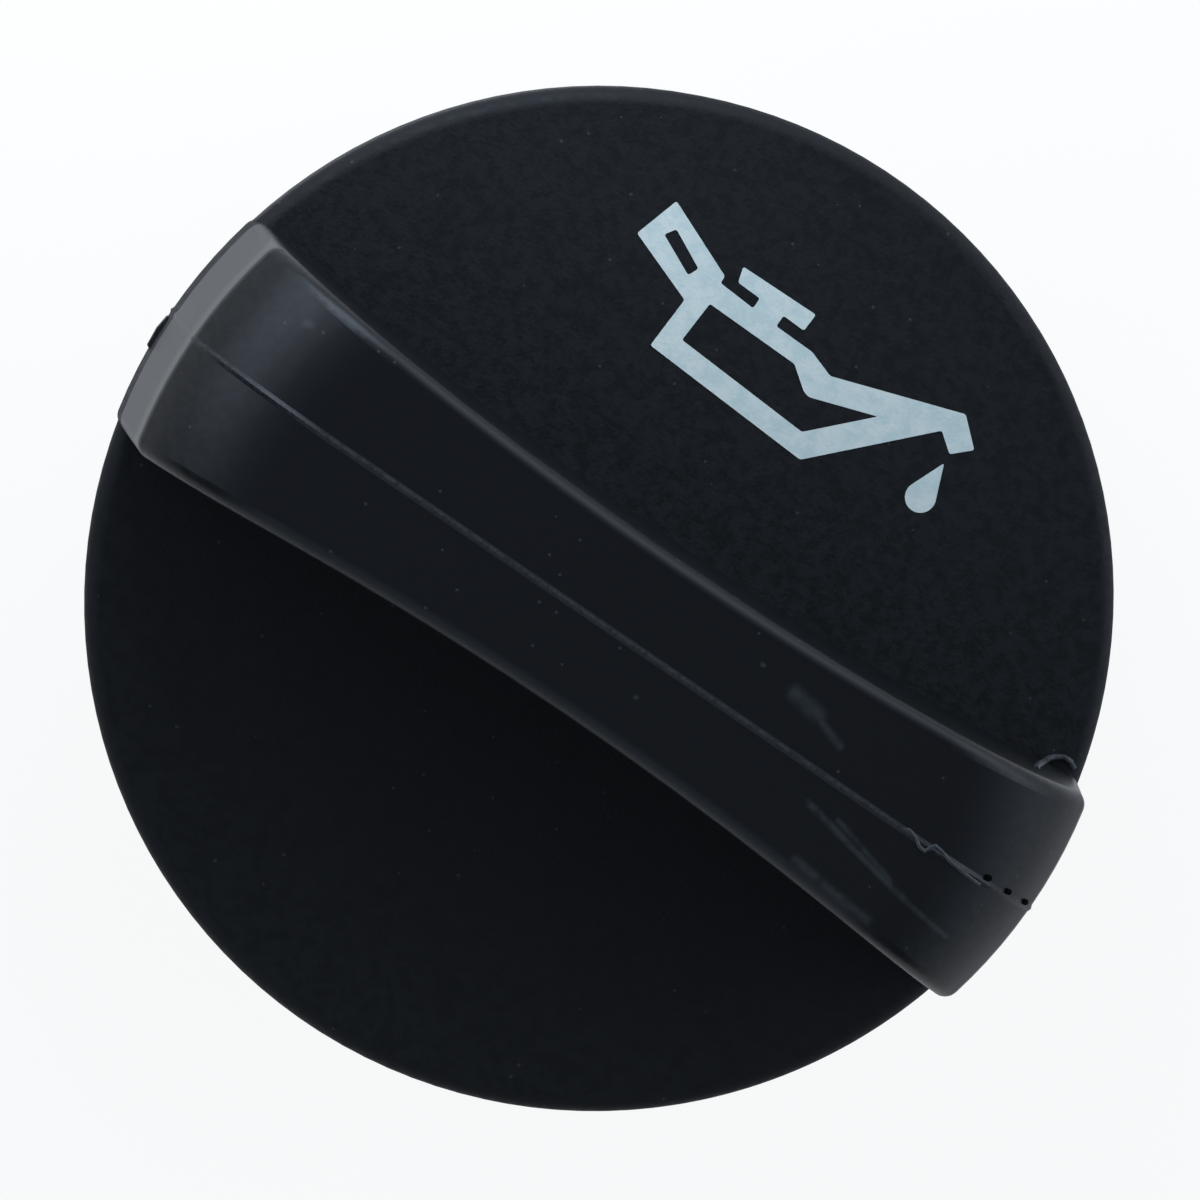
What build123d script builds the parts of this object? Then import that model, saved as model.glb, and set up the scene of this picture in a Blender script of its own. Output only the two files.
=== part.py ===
"""Oil filler cap: a round black moulding with a grip bar across its top and a bayonet neck below it,
and the rubber ring that seals it on the engine's filler opening.

Millimetres. Z is up, X runs along the grip bar, and the origin is on the cap's axis at the lower rim
of the neck, which is the end that goes into the engine.
"""
import os
from math import acos, atan, degrees, radians, sin, tan

from build123d import *

# Disc and skirt
cap_radius = 32.5  # rim of the disc at its widest
disc_thickness = 2.6
rim_edge_radius = 1.0  # rounding of the disc's upper edge
skirt_height = 5.5  # from the disc's top face down to the skirt's lower edge
skirt_wall = 2.2
skirt_taper = 2.5  # degrees, the outside narrows going down
skirt_edge_radius = 0.5

# Grip bar
bar_height = 16.5  # crest of the bar above the disc
bar_waist = 11.8  # across the bar at its middle
bar_end_width = 16.1  # across the bar at the rim
bar_end_reach = 0.12  # how far each end stands out past the rim
bar_end_hem = 0.6  # how far each end comes down over the rim's side
bar_end_lean = 1.8  # how far each end face leans in by the height of the crest
bar_shoulder_radius = 12.0  # arc from the crest down to the crease above each end face
bar_shoulder_drop = 6.0  # height from the crest down to that crease
bar_crease_radius = 1.4  # rounding of the crease
bar_edge_radius = 1.0  # rounding along the long edges and the corners
bar_wall = 2.3  # wall left over the core of the bar

# Traces of the mould
mould_line_height = 0.1  # ridge over the bar's crest and down its ends, where the halves of the mould met
mould_line_width = 0.5
stub_reach = 0.33  # broken gate beside the ridge at the -X end, measured from the rim
stub_width = 3.0
stub_thickness = 1.2
stub_bite = 0.5  # how far the stub is rooted in the rim

# Neck and bayonet
neck_radius = 19.0
neck_wall = 2.4
neck_tail = 3.0  # neck below the lugs
neck_lead_in = 1.0  # chamfer that guides the neck into the opening
lug_count = 2
lug_reach = 3.2  # how far a lug stands out from the neck
lug_span = 58.0  # degrees round the neck
lug_height = 3.6  # at the tall end of the ramp
lug_rise = 1.5  # climb of the ramp that pulls the cap down
lug_bite = 0.8  # how far a lug is rooted in the neck's wall
stop_span = 5.0  # degrees, the stop at the tall end
stop_height = 2.4  # the stop's top above the ramp's tall end
filler_rim = 4.6  # room for the opening's rim between seal and lugs

# Seal and its seat
seal_width = 4.8
seal_thickness = 3.0
seal_edge_radius = 0.7
seal_clearance = 0.1  # between the ring's bore and the neck
seat_margin = 0.4  # seat beyond the ring's outer edge
rib_count = 12
rib_thickness = 1.5
rib_bite = 0.2  # how far a rib is rooted in the walls at its two ends

# Levels and radii that follow from the sizes above
seat_level = neck_tail + lug_height + filler_rim + seal_thickness
disc_top = seat_level + skirt_height
disc_under = disc_top - disc_thickness
crest_level = disc_top + bar_height
rim_level = disc_top - rim_edge_radius
hem_level = rim_level - bar_end_hem
neck_bore = neck_radius - neck_wall
seal_bore = neck_radius + seal_clearance
seat_radius = seal_bore + seal_width + seat_margin
skirt_narrowing = (rim_level - seat_level) * tan(radians(skirt_taper))
skirt_outer = cap_radius - skirt_narrowing
skirt_inner = skirt_outer - skirt_wall
level_tolerance = 0.001  # for picking edges by their level


def edges_at(body, level):
    """The edges of a body that lie flat at one level."""
    low, high = level - level_tolerance, level + level_tolerance
    return body.edges().filter_by(lambda e: low < e.bounding_box().min.Z and e.bounding_box().max.Z < high)


def upright_plane(angle):
    """The plane through the axis at an angle round it: local x points outwards and local y up."""
    outwards = Vector(1, 0, 0).rotate(Axis.Z, angle)
    return Plane(origin=(0, 0, 0), x_dir=outwards, z_dir=outwards.cross(Vector(0, 0, 1)))


def bar_outline(inset, foot_level):
    """The grip bar's outline along its length, from the axis to one end, drawn in by an inset."""
    lean_per_mm = bar_end_lean / (crest_level - rim_level)
    crease_level = crest_level - bar_shoulder_drop
    end_x = cap_radius + bar_end_reach
    crease_x = end_x - (crease_level - rim_level) * lean_per_mm
    turn = acos(1 - bar_shoulder_drop / bar_shoulder_radius)
    shoulder_centre = (crease_x - bar_shoulder_radius * sin(turn), crest_level - bar_shoulder_radius)
    low = foot_level - inset
    low_x = end_x + (rim_level - low) * lean_per_mm
    with BuildSketch(Plane.XZ) as outline:
        with BuildLine():
            shoulder = CenterArc(shoulder_centre, bar_shoulder_radius, 90 - degrees(turn), degrees(turn))
            Polyline(shoulder @ 1, (-inset, crest_level), (-inset, low), (low_x, low), shoulder @ 0)
        make_face()
        if inset:
            offset(amount=-inset, kind=Kind.INTERSECTION, mode=Mode.REPLACE)
        crease = outline.vertices().sort_by(Axis.X)[-2:].sort_by(Axis.Y)[-1]
        fillet(crease, bar_crease_radius)
    return outline.sketch


def grip_bar(inset, foot_level, edge_radius):
    """The grip bar's form, waisted in plan and arched down to its ends, drawn in by an inset."""
    beyond_end = 2 * cap_radius
    with BuildPart() as bar:
        with BuildSketch(Plane.XY.offset(foot_level)):
            with BuildLine():
                half_waist = bar_waist / 2 - inset
                half_end = bar_end_width / 2 - inset
                side = ThreePointArc((-cap_radius, half_end), (0, half_waist), (cap_radius, half_end))
                Polyline(side @ 1, (beyond_end, half_end), (beyond_end, 0))
                Polyline((beyond_end, 0), (-beyond_end, 0), (-beyond_end, half_end), side @ 0)
            make_face()
            mirror(about=Plane.XZ)
        extrude(amount=crest_level - inset - foot_level)
        revolve(bar_outline(inset, foot_level), axis=Axis.Z, mode=Mode.INTERSECT)
        if edge_radius:
            above_foot = bar.edges().filter_by(lambda e: e.center().Z > foot_level + edge_radius)
            fillet(above_foot.filter_by(lambda e: abs(e.center().Y) > bar_waist / 4), edge_radius)
    return bar.part


def lug_sector(start, end, start_height, end_height):
    """A stretch of bayonet lug round the neck, whose top climbs evenly from one end to the other."""
    steps = 4
    with BuildPart() as sector:
        for step in range(steps + 1):
            share = step / steps
            height = start_height + (end_height - start_height) * share
            inner = neck_radius - lug_bite
            outer = neck_radius + lug_reach
            with BuildSketch(upright_plane(start + (end - start) * share)):
                with BuildLine():
                    low, high = neck_tail, neck_tail + height
                    Polyline((inner, low), (outer, low), (outer, high), (inner, high), close=True)
                make_face()
        loft()
    return sector.part


# Hollow of the grip bar, in three pockets: the neck's wall and the seat under it stay whole
bar_core = grip_bar(inset=bar_wall, foot_level=disc_under, edge_radius=0)
with BuildPart() as core_pockets:
    add(bar_core)
    with BuildSketch(Plane.XZ):
        with BuildLine():
            Polyline(
                (neck_bore, disc_under),
                (seat_radius, disc_under),
                (seat_radius, crest_level),
                (neck_bore, crest_level),
                close=True,
            )
        make_face()
    revolve(axis=Axis.Z, mode=Mode.SUBTRACT)

# Mould line: the bar's outline grown by the ridge's height, with flanks that slope down into the bar
with BuildPart() as mould_line:
    with BuildSketch(Plane.XZ) as ridge_outline:
        add(bar_outline(inset=-mould_line_height, foot_level=hem_level))
        mirror(about=Plane.YZ)
    ridge_slope = degrees(atan(2 * mould_line_height / mould_line_width))
    extrude(ridge_outline.sketch, amount=mould_line_width, both=True, taper=ridge_slope)

# Broken gate that was left on the rim at the -X end, beside the mould line on its -Y side
with BuildPart() as gate_stub:
    with BuildSketch(Plane.XY.offset(rim_level)):
        with BuildLine():
            stub_root = stub_bite - cap_radius
            stub_corner = -cap_radius - stub_reach * 2 / 3
            Polyline(
                (stub_root, -mould_line_width),
                (stub_corner, -mould_line_width),
                (-cap_radius - stub_reach, -stub_width / 2),
                (stub_corner, -stub_width * 9 / 10),
                (stub_root, -stub_width),
                close=True,
            )
        make_face()
    extrude(amount=-stub_thickness)

# One lug with its ramp and its stop, on the +Y side
lug_start = 90 - lug_span / 2
lug_end = 90 + lug_span / 2
lug_ramp = lug_sector(lug_start, lug_end, lug_height - lug_rise, lug_height)
lug_stop = lug_sector(lug_end - stop_span, lug_end, lug_height + stop_height, lug_height + stop_height)

# Cap body: disc, skirt, seal seat and neck turned as one section, with the bar on top
grip = grip_bar(inset=0, foot_level=hem_level, edge_radius=bar_edge_radius)
with BuildPart() as cap_body:
    with BuildSketch(Plane.XZ):
        with BuildLine():
            Polyline(
                (cap_radius - rim_edge_radius, disc_top),
                (0, disc_top),
                (0, disc_under),
                (neck_bore, disc_under),
                (neck_bore, 0),
                (neck_radius - neck_lead_in, 0),
                (neck_radius, neck_lead_in),
                (neck_radius, seat_level),
                (seat_radius, seat_level),
                (seat_radius, disc_under),
                (skirt_inner, disc_under),
                (skirt_inner, seat_level),
                (skirt_outer, seat_level),
                (cap_radius, rim_level),
            )
            RadiusArc((cap_radius - rim_edge_radius, disc_top), (cap_radius, rim_level), rim_edge_radius)
        make_face()
    revolve(axis=Axis.Z)
    seat_edges = edges_at(cap_body, seat_level).filter_by(GeomType.CIRCLE)
    fillet(seat_edges.filter_by(lambda e: e.radius > seat_radius + level_tolerance), skirt_edge_radius)
    add(grip)
    add(mould_line.part)
    add(gate_stub.part)
    add(core_pockets.part, mode=Mode.SUBTRACT)
    rib_length = skirt_inner - seat_radius
    rib_depth = disc_under - seat_level - skirt_edge_radius
    with PolarLocations(seat_radius + rib_length / 2, rib_count, start_angle=180 / rib_count):
        with Locations((0, 0, disc_under - rib_depth / 2)):
            Box(rib_length + 2 * rib_bite, rib_thickness, rib_depth)
    with PolarLocations(0, lug_count):
        add(lug_ramp)
        add(lug_stop)

# Seal ring: rubber, pushed up the neck against the seat, its lower edges rounded
with BuildPart() as seal_ring:
    with BuildSketch(Plane.XZ):
        with Locations((seal_bore, seat_level - seal_thickness)):
            Rectangle(seal_width, seal_thickness, align=(Align.MIN, Align.MIN))
    revolve(axis=Axis.Z)
    fillet(seal_ring.edges().group_by(Axis.Z)[0], seal_edge_radius)

os.makedirs("parts", exist_ok=True)
cap_body.part.label = "cap_body"
export_step(cap_body.part, "parts/cap_body.step")
seal_ring.part.label = "seal_ring"
export_step(seal_ring.part, "parts/seal_ring.step")
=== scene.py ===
"""Oil filler cap: the finish of its moulded body and its seal, the printed oil-can sign,
and the traces that the mould left.
"""
from math import cos, radians, sin

import bpy
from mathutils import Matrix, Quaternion, Vector


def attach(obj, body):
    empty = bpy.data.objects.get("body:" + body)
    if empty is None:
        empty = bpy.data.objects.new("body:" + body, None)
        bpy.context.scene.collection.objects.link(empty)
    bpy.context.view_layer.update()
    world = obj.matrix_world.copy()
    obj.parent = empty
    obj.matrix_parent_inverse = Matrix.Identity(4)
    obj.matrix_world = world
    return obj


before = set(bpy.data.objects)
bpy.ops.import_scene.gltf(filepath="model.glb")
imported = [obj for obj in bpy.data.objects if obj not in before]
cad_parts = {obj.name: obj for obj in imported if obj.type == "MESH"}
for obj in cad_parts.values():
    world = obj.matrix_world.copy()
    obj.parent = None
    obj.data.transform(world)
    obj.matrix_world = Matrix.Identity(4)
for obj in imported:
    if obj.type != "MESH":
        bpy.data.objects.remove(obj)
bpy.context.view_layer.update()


# Cap body: disc, grip bar, skirt and bayonet neck, one moulding in black glass-filled nylon.
# The spark-eroded tool left a fine dull grain on the disc and skirt, and the bar came out smoother.
# The form is the CAD node, which gets its finish here.
MM = 0.001
disc_top = 19.7 * MM
cap_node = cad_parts["cap_body"]
mix_first, mix_second, mix_result = 6, 7, 2  # places of the colour sockets on a Mix node


def feed(tree, socket, value):
    """Links a socket to another node's output, or sets it to a plain value."""
    if isinstance(value, bpy.types.NodeSocket):
        tree.links.new(value, socket)
    else:
        socket.default_value = value


def add_node(tree, kind, inputs=None, **settings):
    """Adds a node, sets its properties, and feeds its inputs by name or number."""
    made = tree.nodes.new(kind)
    for name, value in settings.items():
        setattr(made, name, value)
    for key, value in (inputs or {}).items():
        feed(tree, made.inputs[key], value)
    return made


def arithmetic(tree, operation, first, second=0.0, clamp=False):
    """One step of arithmetic on values."""
    inputs = {0: first, 1: second}
    return add_node(tree, "ShaderNodeMath", inputs, operation=operation, use_clamp=clamp).outputs[0]


def vectors(tree, operation, first, second=(0, 0, 0)):
    """One step of arithmetic on vectors."""
    made = add_node(tree, "ShaderNodeVectorMath", {0: first, 1: second}, operation=operation)
    return made.outputs["Value" if operation in ("DOT_PRODUCT", "LENGTH") else "Vector"]


def scaled(tree, vector, factor):
    """A vector times a value."""
    inputs = {0: vector, "Scale": factor}
    return add_node(tree, "ShaderNodeVectorMath", inputs, operation="SCALE").outputs[0]


def ramp(tree, value, start, end, low=0.0, high=1.0):
    """A value that goes smoothly from low at start to high at end."""
    inputs = {"Value": value, "From Min": start, "From Max": end, "To Min": low, "To Max": high}
    return add_node(tree, "ShaderNodeMapRange", inputs, interpolation_type="SMOOTHSTEP").outputs["Result"]


def blend_colours(tree, share, first, second):
    """A colour that goes from the first to the second by a share."""
    made = add_node(tree, "ShaderNodeMix", {"Factor": share}, data_type="RGBA")
    for number, colour in ((mix_first, first), (mix_second, second)):
        is_linked = isinstance(colour, bpy.types.NodeSocket)
        feed(tree, made.inputs[number], colour if is_linked else (*colour, 1.0))
    return made.outputs[mix_result]


def new_group(name, inputs, outputs):
    """An empty shader node group with named inputs and outputs."""
    group = bpy.data.node_groups.new(name, "ShaderNodeTree")
    for label, kind in inputs:
        group.interface.new_socket(label, in_out="INPUT", socket_type=kind)
    for label, kind in outputs:
        group.interface.new_socket(label, in_out="OUTPUT", socket_type=kind)
    return group, group.nodes.new("NodeGroupInput"), group.nodes.new("NodeGroupOutput")


def place_group(tree, group, inputs):
    """Puts a node group into a material with its own values."""
    return add_node(tree, "ShaderNodeGroup", inputs, node_tree=group)


def new_finish(name):
    """A material with its Principled shader, and the place on the piece in millimetres."""
    material = bpy.data.materials.new(name)
    material.use_nodes = True
    tree = material.node_tree
    coordinates = add_node(tree, "ShaderNodeTexCoord").outputs["Object"]
    return material, tree, tree.nodes["Principled BSDF"], scaled(tree, coordinates, 1 / MM)


def add_relief(tree, shader, height, depth):
    """Gives a shader a fine relief of a depth."""
    bump = add_node(tree, "ShaderNodeBump", {"Height": height, "Distance": depth})
    tree.links.new(bump.outputs[0], shader.inputs["Normal"])


def put_on(piece, material):
    """Gives a piece one material."""
    piece.data.materials.clear()
    piece.data.materials.append(material)


VALUE, VECTOR = "NodeSocketFloat", "NodeSocketVector"
in_plan = (1, 1, 0)
grain_inputs = [("Place", VECTOR), ("Pits per mm", VALUE), ("Clouds per mm", VALUE)]
grain_outputs = [("Height", VALUE), ("Clouds", VALUE)]
eroded_grain, given, result = new_group("eroded_grain", grain_inputs, grain_outputs)
for output, scale, detail, coarseness in (
    ("Height", "Pits per mm", 2.5, 0.6),
    ("Clouds", "Clouds per mm", 3.0, 0.65),
):
    inputs = {"Vector": given.outputs["Place"], "Scale": given.outputs[scale]}
    inputs.update({"Detail": detail, "Roughness": coarseness})
    noise = add_node(eroded_grain, "ShaderNodeTexNoise", inputs)
    eroded_grain.links.new(noise.outputs[0], result.inputs[output])

speck_inputs = [("Place", VECTOR), ("Specks per mm", VALUE), ("Share", VALUE), ("Size", VALUE)]
dust_specks, given, result = new_group("dust_specks", speck_inputs, [("Mask", VALUE)])
inputs = {"Vector": given.outputs["Place"], "Scale": given.outputs["Specks per mm"]}
cells = add_node(dust_specks, "ShaderNodeTexVoronoi", inputs)
near = arithmetic(dust_specks, "LESS_THAN", cells.outputs["Distance"], given.outputs["Size"])
draw = add_node(dust_specks, "ShaderNodeSeparateColor", {0: cells.outputs["Color"]}).outputs[0]
chosen = arithmetic(dust_specks, "LESS_THAN", draw, given.outputs["Share"])
dust_specks.links.new(arithmetic(dust_specks, "MULTIPLY", near, chosen), result.inputs["Mask"])

patches_per_mm = 1.1
faintest_patch = 0.35
mark_inputs = [("Place", VECTOR), ("Start", VECTOR), ("End", VECTOR), ("Width", VALUE)]
scuff_mark, given, result = new_group("scuff_mark", mark_inputs, [("Mask", VALUE)])
flattened = vectors(scuff_mark, "MULTIPLY", given.outputs["Place"], in_plan)
along = vectors(scuff_mark, "SUBTRACT", given.outputs["End"], given.outputs["Start"])
reach = vectors(scuff_mark, "SUBTRACT", flattened, given.outputs["Start"])
done = vectors(scuff_mark, "DOT_PRODUCT", reach, along)
whole = vectors(scuff_mark, "DOT_PRODUCT", along, along)
share = arithmetic(scuff_mark, "DIVIDE", done, whole, clamp=True)
nearest = scaled(scuff_mark, along, share)
aside = vectors(scuff_mark, "LENGTH", vectors(scuff_mark, "SUBTRACT", reach, nearest))
stroke = ramp(scuff_mark, aside, given.outputs["Width"], 0.0)
inputs = {"Vector": given.outputs["Place"], "Scale": patches_per_mm, "Detail": 2.0}
rub = add_node(scuff_mark, "ShaderNodeTexNoise", inputs).outputs[0]
patches = ramp(scuff_mark, rub, 0.30, 0.62, faintest_patch, 1.0)
scuff_mark.links.new(arithmetic(scuff_mark, "MULTIPLY", stroke, patches), result.inputs["Mask"])

dark_black = (0.0011, 0.0014, 0.0019)
light_black = (0.0050, 0.0054, 0.0061)
# Painted light: an even, lighter black for the bar's top, for the brightness its crest shows.
crest_painted_light = (0.0048, 0.0049, 0.0057)
dust_colour = (0.10, 0.11, 0.12)
dust_cover = 0.2
# Painted highlight: the lighter colour of the mould line's light.
line_highlight_colour = (0.018, 0.018, 0.020)
scuff_colour = (0.027, 0.032, 0.031)
bar_starts, bar_is_clear = disc_top / MM + 0.1, disc_top / MM + 0.7  # levels in millimetres
crest_light_starts, crest_light_full = 34.0, 36.1  # levels below and at the bar's crest
end_starts, end_is_full = 31.2, 31.7  # distances from the axis, at the bar's end faces
line_edge, line_core = 0.24, 0.10  # distances from the middle of the mould line
finest_dullness, coarsest_dullness = 0.6, 0.72
bar_roughness = 0.35
end_roughness = 0.4
bar_grain = 0.12  # as a share of the disc's grain
grain_depth = 0.03 * MM
scuffs = [  # start and end in plan, half-width and strength
    ((10.7, 3.2), (12.6, 2.85), 0.85, 0.8),
    ((12.4, 2.8), (14.8, 2.05), 0.45, 0.7),
    ((15.2, -1.9), (23.7, -3.55), 0.36, 0.9),
    ((23.9, -3.6), (27.3, -4.1), 0.30, 0.8),
    ((17.3, -1.75), (22.1, -3.0), 0.30, 0.7),
    ((16.6, -5.25), (22.4, -5.85), 0.50, 0.8),
    ((8.0, 3.5), (8.1, 3.5), 0.22, 1.0),
    ((2.7, -2.5), (2.8, -2.5), 0.22, 1.0),
    ((-26.6, 4.9), (-26.3, 5.0), 0.45, 0.6),
]
cap_plastic, tree, shader, place = new_finish("cap_plastic")
grain = place_group(tree, eroded_grain, {"Place": place, "Pits per mm": 3.6, "Clouds per mm": 1.5})
inputs = {"Place": place, "Specks per mm": 0.9, "Share": 0.22, "Size": 0.095}
specks = place_group(tree, dust_specks, inputs).outputs["Mask"]
height_up = add_node(tree, "ShaderNodeSeparateXYZ", {0: place}).outputs["Z"]
on_bar = ramp(tree, height_up, bar_starts, bar_is_clear)
from_axis = vectors(tree, "LENGTH", vectors(tree, "MULTIPLY", place, in_plan))
on_end = arithmetic(tree, "MULTIPLY", on_bar, ramp(tree, from_axis, end_starts, end_is_full))
mottle = ramp(tree, grain.outputs["Clouds"], 0.36, 0.64)
colour = blend_colours(tree, mottle, dark_black, light_black)
# Painted light: from a little below the crest up, the bar's top gets the lighter black instead of the
# grain's mottle.
colour = blend_colours(tree, ramp(tree, height_up, crest_light_starts, crest_light_full), colour, crest_painted_light)
colour = blend_colours(tree, arithmetic(tree, "MULTIPLY", specks, dust_cover), colour, dust_colour)
# Painted highlight: a lighter line along the middle of the bar, the light that the mould line catches,
# broken up by the grain.
from_line = vectors(tree, "LENGTH", vectors(tree, "MULTIPLY", place, (0, 1, 0)))
line_highlight = ramp(tree, grain.outputs["Height"], 0.38, 0.60)
line_highlight = arithmetic(tree, "MULTIPLY", ramp(tree, from_line, line_edge, line_core), line_highlight)
colour = blend_colours(tree, arithmetic(tree, "MULTIPLY", line_highlight, on_bar), colour, line_highlight_colour)
scuffed = 0.0
for start, end, width, strength in scuffs:
    inputs = {"Place": place, "Start": (*start, 0), "End": (*end, 0), "Width": width}
    mark = place_group(tree, scuff_mark, inputs).outputs["Mask"]
    scuffed = arithmetic(tree, "MAXIMUM", arithmetic(tree, "MULTIPLY", mark, strength), scuffed)
colour = blend_colours(tree, arithmetic(tree, "MULTIPLY", scuffed, on_bar), colour, scuff_colour)
tree.links.new(colour, shader.inputs["Base Color"])
disc_roughness = ramp(tree, mottle, 0.0, 1.0, finest_dullness, coarsest_dullness)
roughness = ramp(tree, on_bar, 0.0, 1.0, disc_roughness, bar_roughness)
at_end = arithmetic(tree, "MULTIPLY", on_end, end_roughness)
tree.links.new(arithmetic(tree, "MAXIMUM", roughness, at_end), shader.inputs["Roughness"])
shader.inputs["Specular IOR Level"].default_value = 0.25
grain_share = ramp(tree, on_bar, 0.0, 1.0, 1.0, bar_grain)
add_relief(tree, shader, arithmetic(tree, "MULTIPLY", grain.outputs["Height"], grain_share), grain_depth)
put_on(cap_node, cap_plastic)


# Seal ring: a moulded ring of black oil-proof rubber, stretched on the neck up against its seat.
# It is dull, with a dusting of talc from its own mould. The form is the CAD node.
rubber_black = (0.009, 0.009, 0.0095)
talc_grey = (0.016, 0.016, 0.016)
rubber_relief = 0.03 * MM
seal_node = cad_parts["seal_ring"]
seal_rubber, tree, shader, place = new_finish("seal_rubber")
grain = place_group(tree, eroded_grain, {"Place": place, "Pits per mm": 2.2, "Clouds per mm": 0.3})
talc = ramp(tree, grain.outputs["Clouds"], 0.5, 0.75)
tree.links.new(blend_colours(tree, talc, rubber_black, talc_grey), shader.inputs["Base Color"])
tree.links.new(ramp(tree, grain.outputs["Height"], 0.3, 0.7, 0.68, 0.82), shader.inputs["Roughness"])
shader.inputs["Specular IOR Level"].default_value = 0.35
add_relief(tree, shader, grain.outputs["Height"], rubber_relief)
put_on(seal_node, seal_rubber)


# Oil-can sign: the usual sign for engine oil, a can with a drop at its spout, pad-printed on the disc.
# The print is a film of pale ink that follows the grain. It is traced point by point in millimetres,
# its corners are rounded, and it is filled and given its depth.
ink_depth = 0.03 * MM
ink_sunk = 0.02 * MM
ink_corner = 0.14 * MM
ink_relief = 0.02 * MM
ink_thin = (0.45, 0.53, 0.50)
ink_full = (0.55, 0.59, 0.55)
can_outline = [
    (-6.70, 18.70), (-6.85, 15.15), (5.05, 14.55), (11.40, 21.10), (12.65, 20.15), (13.80, 21.25),
    (12.05, 22.80), (3.60, 19.95), (1.80, 20.55), (-1.00, 20.60), (-1.00, 21.40), (0.60, 21.35),
    (0.65, 22.60), (-4.85, 22.50), (-4.55, 21.50), (-2.85, 21.45), (-2.85, 20.70), (-5.45, 20.85),
    (-5.45, 21.35), (-10.65, 23.50), (-11.55, 20.45),
]
can_opening = [
    (-5.25, 19.40), (1.30, 19.30), (2.80, 18.20), (3.25, 18.10), (7.55, 19.55), (4.15, 16.05),
    (-5.40, 16.55),
]
handle_slot = [(-10.10, 21.35), (-9.65, 22.05), (-7.10, 20.80), (-7.40, 20.10)]
drop_centre = Vector((12.7, 16.9)) * MM
drop_radius = 1.0 * MM
drop_tip = 19.5 * MM
drop_sides = 28


def start_piece(name):
    """Names the object that an operator has just made, and returns it."""
    piece = bpy.context.object
    piece.name = name
    piece.data.name = name
    return piece


def trace(points):
    """In edit mode, draws a path: a plane is merged to one vertex, which is extruded point by point."""
    bpy.ops.mesh.primitive_plane_add(size=MM, location=Vector(points[0]) * MM)
    bpy.ops.mesh.merge(type="CENTER")
    for here, there in zip(points, points[1:]):
        step = (Vector(there) - Vector(here)) * MM
        bpy.ops.mesh.extrude_region_move(TRANSFORM_OT_translate={"value": step})


ink_level = disc_top - ink_sunk
bpy.ops.object.select_all(action="DESELECT")
drop_place = (*drop_centre, ink_level)
bpy.ops.mesh.primitive_circle_add(vertices=drop_sides, radius=drop_radius, location=drop_place)
sign = start_piece("oil_sign")
bpy.ops.object.transform_apply(location=True, rotation=True, scale=True)
bpy.ops.object.mode_set(mode="EDIT")
bpy.ops.mesh.select_all(action="DESELECT")
bpy.ops.object.mode_set(mode="OBJECT")
flank = drop_centre.y + drop_radius ** 2 / (drop_tip - drop_centre.y)
for vertex in sign.data.vertices:
    vertex.select = vertex.co.y > flank
bpy.ops.object.mode_set(mode="EDIT")
bpy.ops.mesh.merge(type="CENTER")
bpy.ops.object.mode_set(mode="OBJECT")
top = max(vertex.co.y for vertex in sign.data.vertices)
bpy.ops.object.mode_set(mode="EDIT")
bpy.ops.transform.translate(value=(0, drop_tip - top, 0))
for outline in (can_outline, can_opening, handle_slot):
    trace([(x, y, ink_level / MM) for x, y in outline + outline[:1]])
bpy.ops.mesh.select_all(action="SELECT")
bpy.ops.mesh.remove_doubles(threshold=0.01 * MM)
bpy.ops.mesh.bevel(affect="VERTICES", offset=ink_corner, segments=3)
bpy.ops.mesh.select_all(action="SELECT")
bpy.ops.mesh.fill(use_beauty=True)
bpy.ops.mesh.extrude_region_move(TRANSFORM_OT_translate={"value": (0, 0, ink_depth + ink_sunk)})
bpy.ops.mesh.select_all(action="SELECT")
bpy.ops.mesh.normals_make_consistent(inside=False)
bpy.ops.object.mode_set(mode="OBJECT")

sign_print, tree, shader, place = new_finish("sign_print")
grain = place_group(tree, eroded_grain, {"Place": place, "Pits per mm": 3.6, "Clouds per mm": 0.9})
ink_share = ramp(tree, grain.outputs["Clouds"], 0.35, 0.65)
tree.links.new(blend_colours(tree, ink_share, ink_thin, ink_full), shader.inputs["Base Color"])
tree.links.new(ramp(tree, grain.outputs["Height"], 0.3, 0.7, 0.5, 0.65), shader.inputs["Roughness"])
add_relief(tree, shader, grain.outputs["Height"], ink_relief)
put_on(sign, sign_print)
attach(sign, "root")


# Flash: threads of plastic that were pressed out where the parts of the mould met and weren't trimmed
# off, a crooked one along the crest and a curl at the bar's foot, and dull black nicks, which are painted
# shade beside the crest's flash and in its gaps. Each is traced point by point in millimetres, turned
# into a curve and given its thickness.
flash_dark = (0.022, 0.023, 0.025)
flash_pale = (0.055, 0.057, 0.060)
flash_plastic, tree, shader, place = new_finish("flash_plastic")
grain = place_group(tree, eroded_grain, {"Place": place, "Pits per mm": 5.0, "Clouds per mm": 1.5})
paleness = ramp(tree, grain.outputs["Clouds"], 0.35, 0.65)
tree.links.new(blend_colours(tree, paleness, flash_dark, flash_pale), shader.inputs["Base Color"])
tree.links.new(ramp(tree, grain.outputs["Height"], 0.3, 0.7, 0.35, 0.5), shader.inputs["Roughness"])
shader.inputs["Specular IOR Level"].default_value = 0.25

# Painted shade: a matte black that doesn't shine, for the dark spots beside the crest's flash and in its
# gaps.
nick_shade_dark = (0.0015, 0.0015, 0.0020)
nick_shade_pale = (0.0035, 0.0035, 0.0040)
nick_shade_plastic, tree, shader, place = new_finish("nick_shade_plastic")
grain = place_group(tree, eroded_grain, {"Place": place, "Pits per mm": 6.0, "Clouds per mm": 3.0})
nick_shade_colour = blend_colours(tree, grain.outputs["Clouds"], nick_shade_dark, nick_shade_pale)
tree.links.new(nick_shade_colour, shader.inputs["Base Color"])
tree.links.new(ramp(tree, grain.outputs["Height"], 0.3, 0.7, 0.8, 0.95), shader.inputs["Roughness"])
shader.inputs["Specular IOR Level"].default_value = 0.02

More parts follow.
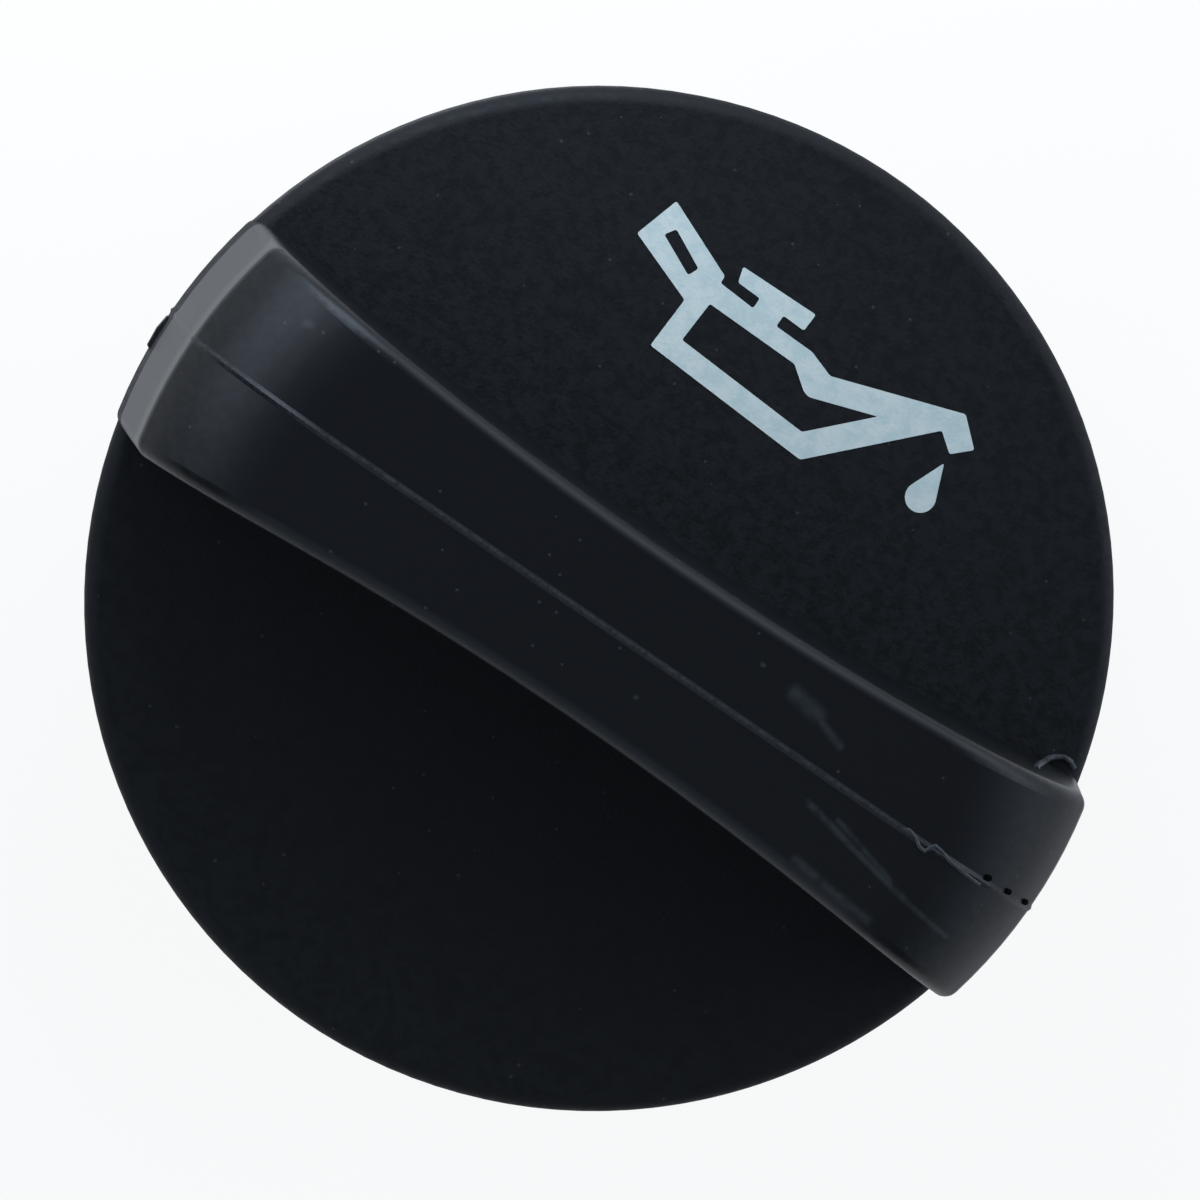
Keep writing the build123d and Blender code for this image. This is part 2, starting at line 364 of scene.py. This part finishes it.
crest_path = [
    (20.9, 0.0, 36.15), (21.3, 0.2, 36.15), (21.9, 0.05, 36.15), (22.4, -0.3, 36.15),
    (22.85, -0.35, 36.1), (23.05, 0.1, 36.1), (23.2, 0.3, 36.0), (23.8, 0.2, 35.9),
    (24.5, 0.0, 35.75), (25.4, -0.1, 35.45), (26.3, -0.2, 35.05), (27.1, -0.25, 34.6),
]
curl_path = [
    (26.6, 7.4, 31.0), (27.2, 7.45, 27.3), (28.5, 7.65, 21.6), (28.95, 7.9, 19.85),
    (29.3, 8.2, 19.7), (29.75, 8.5, 19.7), (30.25, 8.5, 19.7), (30.7, 8.25, 19.65),
]
nick_paths = [
    [(27.15, 0.35, 34.5), (27.5, 0.4, 34.3)],
    [(28.9, 0.25, 33.2), (29.25, 0.3, 32.9)],
    [(30.5, 0.2, 31.5), (30.8, 0.25, 31.15)],
]
for name, paths, thickness, finish in (
    ("crest_flash", [crest_path], 0.27 * MM, flash_plastic),
    ("curl_flash", [curl_path], 0.40 * MM, flash_plastic),
    # Painted shade: these nicks are dark pieces put where the flash shades the crest.
    ("shade_nicks", nick_paths, 0.42 * MM, nick_shade_plastic),
):
    bpy.ops.object.select_all(action="DESELECT")
    bpy.ops.mesh.primitive_plane_add(size=MM)
    bpy.ops.object.mode_set(mode="EDIT")
    bpy.ops.mesh.delete(type="VERT")
    for path in paths:
        trace(path)
    bpy.ops.object.mode_set(mode="OBJECT")
    bpy.ops.object.convert(target="CURVE")
    thread = bpy.context.object.data
    thread.bevel_depth = thickness / 2
    thread.bevel_resolution = 3
    thread.use_fill_caps = True
    bpy.ops.object.convert(target="MESH")
    flash = start_piece(name)
    bpy.ops.object.mode_set(mode="EDIT")
    bpy.ops.mesh.select_all(action="SELECT")
    bpy.ops.mesh.normals_make_consistent(inside=False)
    bpy.ops.object.mode_set(mode="OBJECT")
    bpy.ops.object.shade_smooth_by_angle(angle=1.0)
    put_on(flash, finish)
    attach(flash, "root")


# Floor: plain white paper that the cap stands on. Seen directly it is nearly all white by itself, and
# half so where the cap mirrors it. The rest of it takes the light, so that the cap's shadow stays.
floor_size = 6.0
floor_gap = 0.02 * MM
paper_colour = (0.9, 0.9, 0.9, 1)
white = (1, 1, 1, 1)
white_when_seen = 0.9
white_when_mirrored = 0.5
bpy.ops.object.select_all(action="DESELECT")
bpy.ops.mesh.primitive_plane_add(size=floor_size, location=(0, 0, -floor_gap))
floor = start_piece("floor")
paper = bpy.data.materials.new("white_paper")
paper.use_nodes = True
tree = paper.node_tree
tree.nodes.remove(tree.nodes["Principled BSDF"])
lit = add_node(tree, "ShaderNodeBsdfDiffuse", {"Color": paper_colour}).outputs[0]
glow = add_node(tree, "ShaderNodeEmission", {"Color": white, "Strength": 1.0}).outputs[0]
rays = add_node(tree, "ShaderNodeLightPath").outputs
mirrored = arithmetic(tree, "ADD", rays["Is Glossy Ray"], rays["Is Transmission Ray"], clamp=True)
own_white = arithmetic(
    tree,
    "MAXIMUM",
    arithmetic(tree, "MULTIPLY", rays["Is Camera Ray"], white_when_seen),
    arithmetic(tree, "MULTIPLY", mirrored, white_when_mirrored),
)
mixed = add_node(tree, "ShaderNodeMixShader", {0: own_white, 1: lit, 2: glow})
tree.links.new(mixed.outputs[0], tree.nodes["Material Output"].inputs["Surface"])
put_on(floor, paper)


# Studio light: bluish soft panels far off round the cap, most of them low, brightest on the sign's side
# and off the bar's -X end, and two small lamps near the sign. The camera sees plain white behind them.
panel_blue = (0.85, 1.0, 1.2)
panels = [  # azimuth and elevation in degrees, tightness and strength
    (36, 22, 14, 2.6),  # sign's side, towards the +X end
    (72, 22, 14, 2.0),  # sign's side
    (172, 22, 14, 3.3),  # off the -X end, which shows on the bar's shoulder
    (0, 5, 18, 0.9),  # low, off the +X end
    (80, 5, 18, 1.5),  # low on the sign's side, which shows on the bar's edge there
    (270, 5, 18, 1.2),  # low on the other side, which shows on the other edge
    (270, 42, 12, 0.8),  # higher on the other side
    (300, 65, 14, 0.35),  # dim and high up, which shows on the crest
]
lamp_size = 60 * MM
lamp_distance = 100 * MM
lamp_target = Vector((0, 0, 20 * MM))
panel_inputs = [("Direction", VECTOR), ("Towards", VECTOR), ("Tightness", VALUE)]
soft_panel, given, result = new_group("soft_panel", panel_inputs, [("Glow", VALUE)])
facing = vectors(soft_panel, "DOT_PRODUCT", given.outputs["Direction"], given.outputs["Towards"])
turned_off = arithmetic(soft_panel, "SUBTRACT", facing, 1.0)
falling = arithmetic(soft_panel, "MULTIPLY", turned_off, given.outputs["Tightness"])
soft_panel.links.new(arithmetic(soft_panel, "EXPONENT", falling), result.inputs["Glow"])


def towards(azimuth, elevation):
    """The direction to a light or the camera, from its angles round the cap and above the floor."""
    level = cos(radians(elevation))
    return Vector((level * cos(radians(azimuth)), level * sin(radians(azimuth)), sin(radians(elevation))))


room = bpy.data.worlds.new("studio")
bpy.context.scene.world = room
room.use_nodes = True
tree = room.node_tree
direction = add_node(tree, "ShaderNodeTexCoord").outputs["Generated"]
room_light = 0.0
for azimuth, elevation, tightness, strength in panels:
    inputs = {"Direction": direction, "Towards": towards(azimuth, elevation), "Tightness": tightness}
    glow = place_group(tree, soft_panel, inputs).outputs["Glow"]
    room_light = arithmetic(tree, "ADD", arithmetic(tree, "MULTIPLY", glow, strength), room_light)
lit_room = tree.nodes["Background"]
lit_room.inputs["Color"].default_value = (*panel_blue, 1)
tree.links.new(room_light, lit_room.inputs["Strength"])
backdrop = add_node(tree, "ShaderNodeBackground", {"Color": white, "Strength": 1.0})
seen = add_node(tree, "ShaderNodeLightPath").outputs["Is Camera Ray"]
mixed = add_node(tree, "ShaderNodeMixShader", {0: seen, 1: lit_room.outputs[0], 2: backdrop.outputs[0]})
tree.links.new(mixed.outputs[0], tree.nodes["World Output"].inputs["Surface"])

for name, azimuth, elevation, power in (
    ("sign_lamp", 130, 28, 0.055),
    ("side_lamp", 150, 20, 0.015),
):
    lamp = bpy.data.lights.new(name, "AREA")
    lamp.shape = "SQUARE"
    lamp.size = lamp_size
    lamp.energy = power
    lamp.color = panel_blue
    stand = bpy.data.objects.new(name, lamp)
    bpy.context.scene.collection.objects.link(stand)
    stand.location = lamp_target + lamp_distance * towards(azimuth, elevation)
    stand.rotation_euler = towards(azimuth, elevation).to_track_quat("Z", "Y").to_euler()
    stand.visible_camera = False


# Camera: nearly straight above the cap, at the photograph's angle and distance, with a long lens.
# It is turned so that the bar slants as it does there, and aimed a little off the disc's middle.
camera_azimuth = 155.0
camera_elevation = 81.8
camera_roll = 149.5
camera_distance = 500 * MM
aim_left = 0.15 * MM
aim_up = 0.3 * MM
towards_camera = towards(camera_azimuth, camera_elevation)
camera_turn = towards_camera.to_track_quat("Z", "Y") @ Quaternion((0, 0, 1), radians(camera_roll))
picture_right = camera_turn @ Vector((1, 0, 0))
picture_up = camera_turn @ Vector((0, 1, 0))
lens = bpy.data.cameras.new("camera")
lens.lens = 238.7
lens.sensor_width = 36.0
camera = bpy.data.objects.new("camera", lens)
bpy.context.scene.collection.objects.link(camera)
camera.rotation_euler = camera_turn.to_euler()
aim = Vector((0, 0, disc_top)) - aim_left * picture_right + aim_up * picture_up
camera.location = aim + camera_distance * towards_camera
bpy.context.scene.camera = camera
bpy.context.scene.view_settings.view_transform = "Standard"
